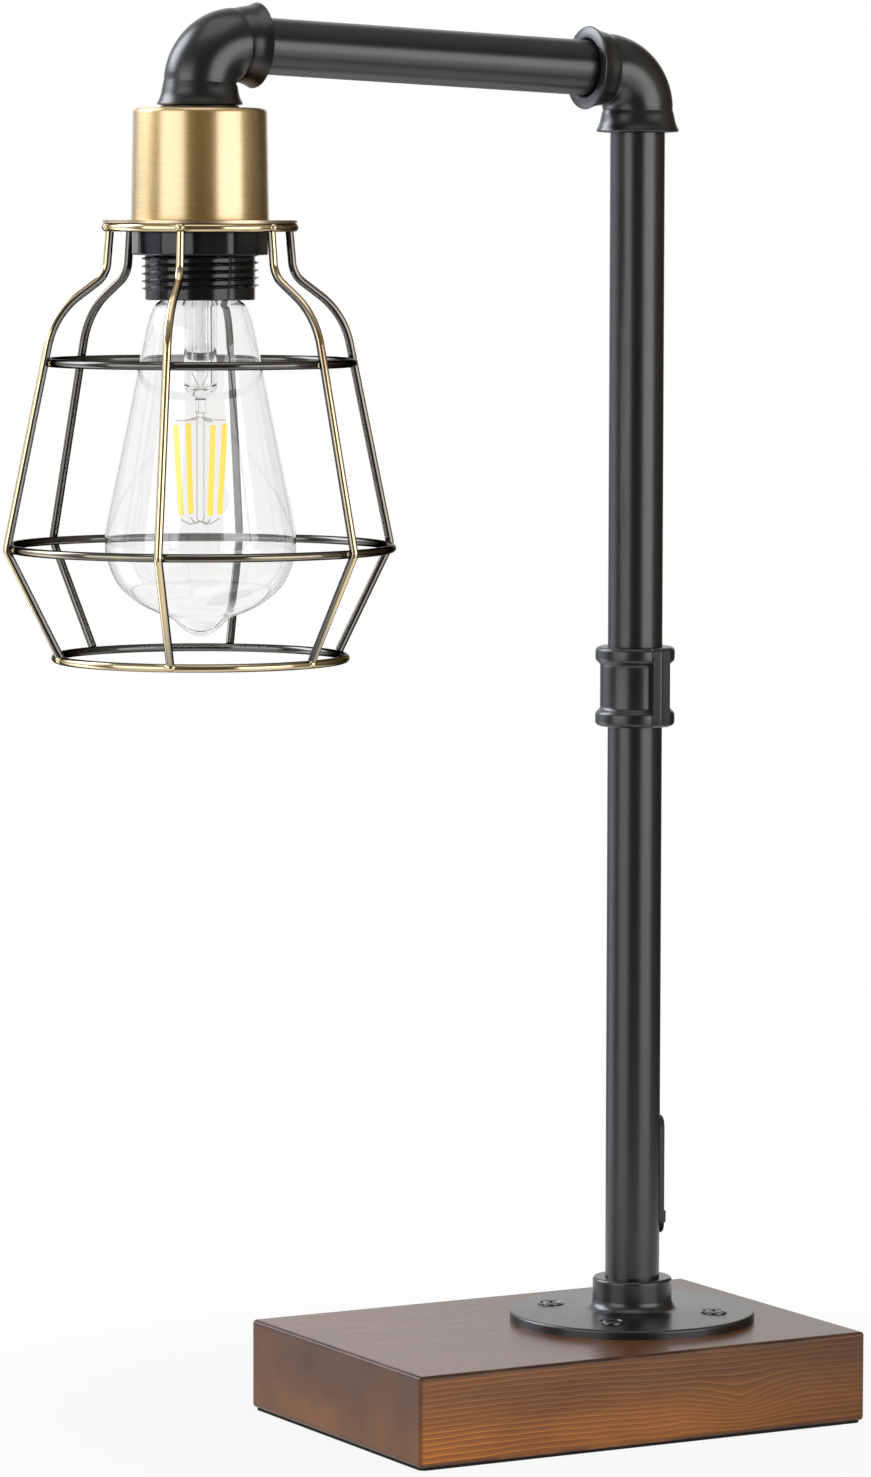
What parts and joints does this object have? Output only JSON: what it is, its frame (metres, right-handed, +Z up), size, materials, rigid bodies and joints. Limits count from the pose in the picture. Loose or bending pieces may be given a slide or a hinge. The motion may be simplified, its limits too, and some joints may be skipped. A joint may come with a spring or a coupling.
{
  "type": "cage table lamp",
  "caption": "Table lamp of black pipe fittings on a wooden block, with a brass cup and a wire cage round a clear filament bulb on its arm, and a slide switch on the pole.",
  "frame": {"origin": "centre of the underside of the base", "axes": "+Z up; the arm reaches from the pole towards -X; -Y is the long face to the front"},
  "size_m": [0.2953, 0.1312, 0.4895],
  "materials": {
    "stained_wood": "satin stain",
    "black_pad": "matte",
    "black_pipe": "satin powder coat",
    "screw_metal": "satin black",
    "brushed_brass": "brushed antique",
    "cage_metal": "antique plated",
    "black_gloss": "gloss",
    "black_plastic": "matte",
    "inner_steel": "zinc plated",
    "contact_brass": "bright",
    "flex_sheath": "matte",
    "white_insulator": "matte",
    "clear_glass": "clear",
    "cap_metal": "bright",
    "filament": "matte",
    "lead_wire": "bright",
    "board": "matte"
  },
  "bodies": {
    "stand": {"wood_base": "stained_wood", "base_pad": "black_pad", "cord_grommet": "black_pad", "floor_flange": "black_pipe", "flange_screws": "screw_metal", "lower_pipe": "black_pipe", "pipe_coupling": "black_pipe", "lower_flex": "flex_sheath", "wire_connectors": "white_insulator", "switch_plate": "black_plastic", "switch_module": "black_plastic"},
    "slider": {"switch_slider": "black_plastic"},
    "arm": {"upper_pipe": "black_pipe", "pole_elbow": "black_pipe", "arm_pipe": "black_pipe", "head_elbow": "black_pipe", "elbow_bushing": "inner_steel", "cup_washer": "black_plastic", "socket_cup": "brushed_brass", "hollow_nipple": "inner_steel", "nipple_nut": "inner_steel", "holder_dome": "black_gloss", "holder_core": "white_insulator", "screw_shell": "contact_brass", "centre_contact": "contact_brass", "holder_skirt": "black_gloss", "terminal_screws": "contact_brass", "holder_leads": "flex_sheath", "upper_flex": "flex_sheath"},
    "cage": {"cage_top_plate": "cage_metal", "cage_top_ring": "cage_metal", "cage_upper_ring": "cage_metal", "cage_middle_ring": "cage_metal", "cage_bottom_ring": "cage_metal", "cage_wires": "cage_metal"},
    "clamp_ring": {"shade_ring": "black_gloss"},
    "bulb": {"bulb_glass": "clear_glass", "bulb_cap": "cap_metal", "cap_insulator": "black_gloss", "cap_contact": "cap_metal", "driver_board": "board", "bulb_stem": "clear_glass", "filament_sticks": "filament", "filament_wires": "lead_wire"}
  },
  "joints": [
    {"name": "arm_swing", "type": "hinge", "parent": "stand", "child": "arm", "pos_m": [0.0305, 0, 0.2552], "axis": [0, 0, 1], "range_deg": [-90, 90]},
    {"name": "cage_drop", "type": "slide", "parent": "arm", "child": "cage", "axis": [0, 0, -1], "range_m": [0, 0.024]},
    {"name": "ring_turn", "type": "hinge", "parent": "cage", "child": "clamp_ring", "pos_m": [-0.139, 0, 0.4107], "axis": [0, 0, -1], "range_deg": [0, 3460]},
    {"name": "bulb_out", "type": "slide", "parent": "arm", "child": "bulb", "axis": [0, 0, -1], "range_m": [0, 0.15]},
    {"name": "switch_slide", "type": "slide", "parent": "stand", "child": "slider", "axis": [0, 0, 1], "range_m": [0, 0.03]}
  ],
  "couplings": [
    {"joint": "ring_turn", "follows": "cage_drop", "rad_per_m": 2513.3}
  ]
}
